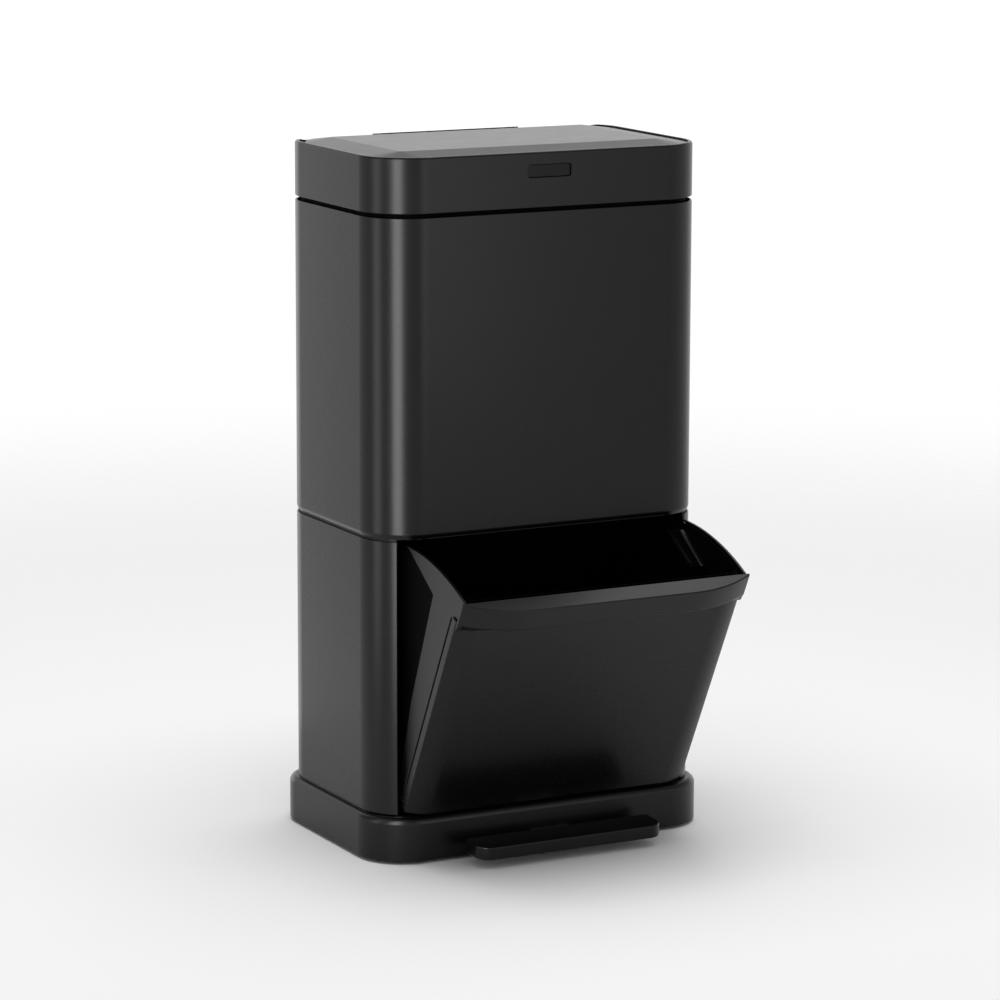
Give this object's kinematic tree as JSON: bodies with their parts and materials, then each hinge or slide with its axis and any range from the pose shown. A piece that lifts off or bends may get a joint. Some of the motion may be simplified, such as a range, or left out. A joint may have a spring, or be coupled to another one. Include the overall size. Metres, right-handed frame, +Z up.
{
  "type": "two-tier pedal bin",
  "caption": "Upright two-tier bin: a pedal-lifted lid over an upper pail, and a tilt-out lower bin with its own pail, on a plinth base.",
  "frame": {"origin": "on the floor, under the middle of the plinth", "axes": "+Z up, -Y towards the front with the pedal and the tilt-out bin, +X to the right seen from the front"},
  "size_m": [0.4464, 0.4514, 0.827],
  "materials": {
    "black_steel": "satin powder coat",
    "black_plastic": "satin moulded",
    "deep_plastic": "matt moulded",
    "pail_plastic": "satin moulded",
    "bare_steel": "zinc plated",
    "rubber": "matt",
    "nylon": "satin"
  },
  "bodies": {
    "body": {"base_plinth": "black_plastic", "base_pan": "deep_plastic", "foot_pad_1": "rubber", "foot_pad_2": "rubber", "foot_pad_3": "rubber", "foot_pad_4": "rubber", "pan_screw_1": "bare_steel", "pan_screw_2": "bare_steel", "pan_screw_3": "bare_steel", "pan_screw_4": "bare_steel", "pedal_axle": "bare_steel", "lower_shell": "black_steel", "mid_deck": "deep_plastic", "upper_shell": "black_steel", "neck_ring": "deep_plastic", "collar": "black_plastic", "hinge_cover": "black_plastic", "rod_channel_lower": "deep_plastic", "rod_channel_upper": "deep_plastic", "rod_guide_base": "nylon", "rod_guide_mid": "nylon", "rod_guide_top": "nylon", "upper_pail": "pail_plastic", "pedal_bracket_left": "bare_steel", "rest_pad_left": "rubber", "tilt_pin_left": "bare_steel", "hinge_ear_left": "black_plastic", "hinge_pin_left": "bare_steel", "pedal_bracket_right": "bare_steel", "rest_pad_right": "rubber", "tilt_pin_right": "bare_steel", "hinge_ear_right": "black_plastic", "hinge_pin_right": "bare_steel"},
    "lid": {"lid_shell": "black_plastic", "lid_liner": "deep_plastic", "lid_seal": "rubber", "lid_crank": "bare_steel", "lid_roller": "nylon", "lid_arm_left": "black_plastic", "lid_arm_right": "black_plastic"},
    "lid_button": {"lid_button": "deep_plastic"},
    "tilt_bin": {"tilt_panel": "black_steel", "tilt_rim": "black_plastic", "tilt_floor": "deep_plastic", "tilt_backing": "deep_plastic", "lower_pail": "pail_plastic", "tilt_side_left": "black_plastic", "tilt_side_right": "black_plastic"},
    "pedal": {"pedal_plate": "black_plastic", "pedal_lever": "bare_steel"},
    "lift_rod": {"lift_rod": "bare_steel", "lift_rod_head": "nylon"}
  },
  "joints": [
    {"name": "lid_hinge", "type": "hinge", "parent": "body", "child": "lid", "pos_m": [0, 0.104, 0.817], "axis": [-1, 0, 0], "range_deg": [0, 70]},
    {"name": "pedal_pivot", "type": "hinge", "parent": "body", "child": "pedal", "pos_m": [0, -0.1, 0.024], "axis": [1, 0, 0], "range_deg": [0, 4.9]},
    {"name": "lift_rod_slide", "type": "slide", "parent": "body", "child": "lift_rod", "axis": [0, 0, 1], "range_m": [0, 0.0187]},
    {"name": "lid_button_press", "type": "slide", "parent": "body", "child": "lid_button", "axis": [0, 1, 0], "range_m": [0, 0.002], "stiffness_N_per_m": 400},
    {"name": "tilt_hinge", "type": "hinge", "parent": "body", "child": "tilt_bin", "pos_m": [0, -0.128, 0.052], "axis": [1, 0, 0], "range_deg": [-27.5, 0]}
  ],
  "couplings": [
    {"joint": "pedal_pivot", "follows": "lid_hinge", "ratio": 0.0695},
    {"joint": "lift_rod_slide", "follows": "lid_hinge", "m_per_rad": 0.01522}
  ]
}
